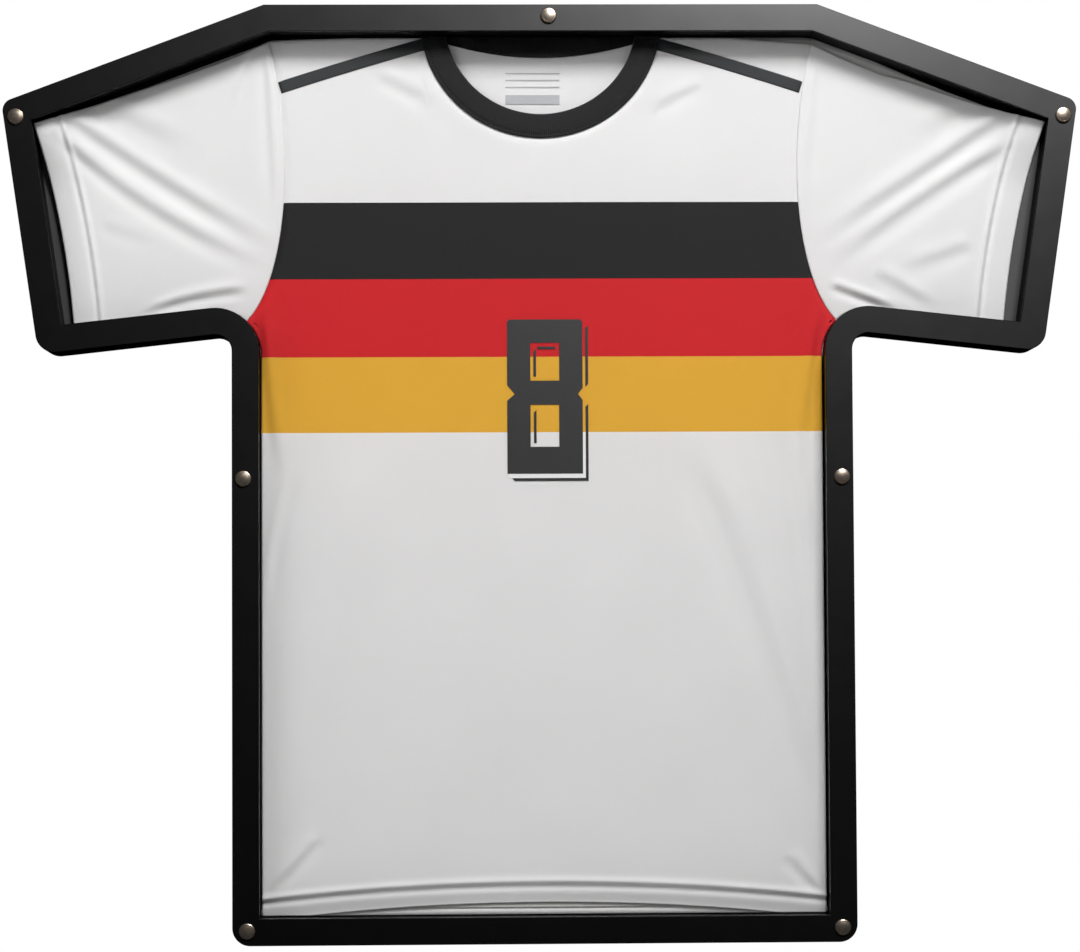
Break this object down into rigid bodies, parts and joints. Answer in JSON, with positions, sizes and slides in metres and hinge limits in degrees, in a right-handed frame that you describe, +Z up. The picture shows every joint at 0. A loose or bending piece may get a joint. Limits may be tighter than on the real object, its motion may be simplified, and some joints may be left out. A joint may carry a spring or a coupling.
{
  "type": "jersey display frame",
  "caption": "Wall-hung display frame in the outline of a short-sleeved jersey: black rim and case, clear window, cap screws, and a jersey drawn over a board inside.",
  "frame": {"origin": "on the wall plane, midway between the two points where the wall screws carry the keyhole plates", "axes": "+Z up, +Y into the wall, the front faces -Y, +X to the right as seen from the front"},
  "size_m": [0.8426, 0.0336, 0.735],
  "materials": {
    "bezel_acrylic": "laser-cut black acrylic sheet, satin gloss",
    "rail_acrylic": "black acrylic, polished cut edges",
    "clear_acrylic": "clear cast acrylic sheet",
    "back_board": "black foamed PVC sheet, matt",
    "nickel": "polished nickel plate",
    "brass": "turned brass",
    "zinc_plate": "zinc-plated steel",
    "bumper_rubber": "moulded rubber, matt",
    "jersey_knit": "white polyester knit with black, red and gold chest bands",
    "collar_rib": "black rib knit",
    "shirt_board": "white foamed PVC sheet, matt"
  },
  "bodies": {
    "case": {"rail_top": "rail_acrylic", "rail_shoulder_right": "rail_acrylic", "rail_cuff_right": "rail_acrylic", "rail_underarm_right": "rail_acrylic", "rail_side_right": "rail_acrylic", "rail_bottom": "rail_acrylic", "rail_side_left": "rail_acrylic", "rail_underarm_left": "rail_acrylic", "rail_cuff_left": "rail_acrylic", "rail_shoulder_left": "rail_acrylic", "back_panel": "back_board", "insert_top": "brass", "insert_sleeve_right": "brass", "insert_sleeve_left": "brass", "insert_side_right": "brass", "insert_side_left": "brass", "insert_bottom_right": "brass", "insert_bottom_left": "brass", "keyhole_plate_left": "zinc_plate", "keyhole_plate_right": "zinc_plate", "plate_screw_left_upper": "zinc_plate", "plate_screw_left_lower": "zinc_plate", "plate_screw_right_upper": "zinc_plate", "plate_screw_right_lower": "zinc_plate", "bumper_upper_right": "bumper_rubber", "bumper_upper_left": "bumper_rubber", "bumper_lower_right": "bumper_rubber", "bumper_lower_left": "bumper_rubber"},
    "cover": {"bezel": "bezel_acrylic", "window": "clear_acrylic"},
    "jersey": {"jersey_back": "jersey_knit", "shirt_board": "shirt_board", "jersey_front": "jersey_knit", "collar": "collar_rib", "sleeve_right": "jersey_knit", "sleeve_left": "jersey_knit"},
    "screw_top": {"cap_screw_top": "nickel"},
    "screw_sleeve_right": {"cap_screw_sleeve_right": "nickel"},
    "screw_sleeve_left": {"cap_screw_sleeve_left": "nickel"},
    "screw_side_right": {"cap_screw_side_right": "nickel"},
    "screw_side_left": {"cap_screw_side_left": "nickel"},
    "screw_bottom_right": {"cap_screw_bottom_right": "nickel"},
    "screw_bottom_left": {"cap_screw_bottom_left": "nickel"}
  },
  "joints": [
    {"name": "cover_off", "type": "slide", "parent": "case", "child": "cover", "axis": [0, -1, 0], "range_m": [0, 0.16]},
    {"name": "jersey_out", "type": "slide", "parent": "case", "child": "jersey", "axis": [0, -1, 0], "range_m": [0, 0.064]},
    {"name": "screw_top_out", "type": "slide", "parent": "cover", "child": "screw_top", "axis": [0, -1, 0], "range_m": [0, 0.018]},
    {"name": "screw_sleeve_right_out", "type": "slide", "parent": "cover", "child": "screw_sleeve_right", "axis": [0, -1, 0], "range_m": [0, 0.018]},
    {"name": "screw_sleeve_left_out", "type": "slide", "parent": "cover", "child": "screw_sleeve_left", "axis": [0, -1, 0], "range_m": [0, 0.018]},
    {"name": "screw_side_right_out", "type": "slide", "parent": "cover", "child": "screw_side_right", "axis": [0, -1, 0], "range_m": [0, 0.018]},
    {"name": "screw_side_left_out", "type": "slide", "parent": "cover", "child": "screw_side_left", "axis": [0, -1, 0], "range_m": [0, 0.018]},
    {"name": "screw_bottom_right_out", "type": "slide", "parent": "cover", "child": "screw_bottom_right", "axis": [0, -1, 0], "range_m": [0, 0.018]},
    {"name": "screw_bottom_left_out", "type": "slide", "parent": "cover", "child": "screw_bottom_left", "axis": [0, -1, 0], "range_m": [0, 0.018]}
  ],
  "couplings": [
    {"joint": "jersey_out", "follows": "cover_off", "ratio": 0.4}
  ]
}
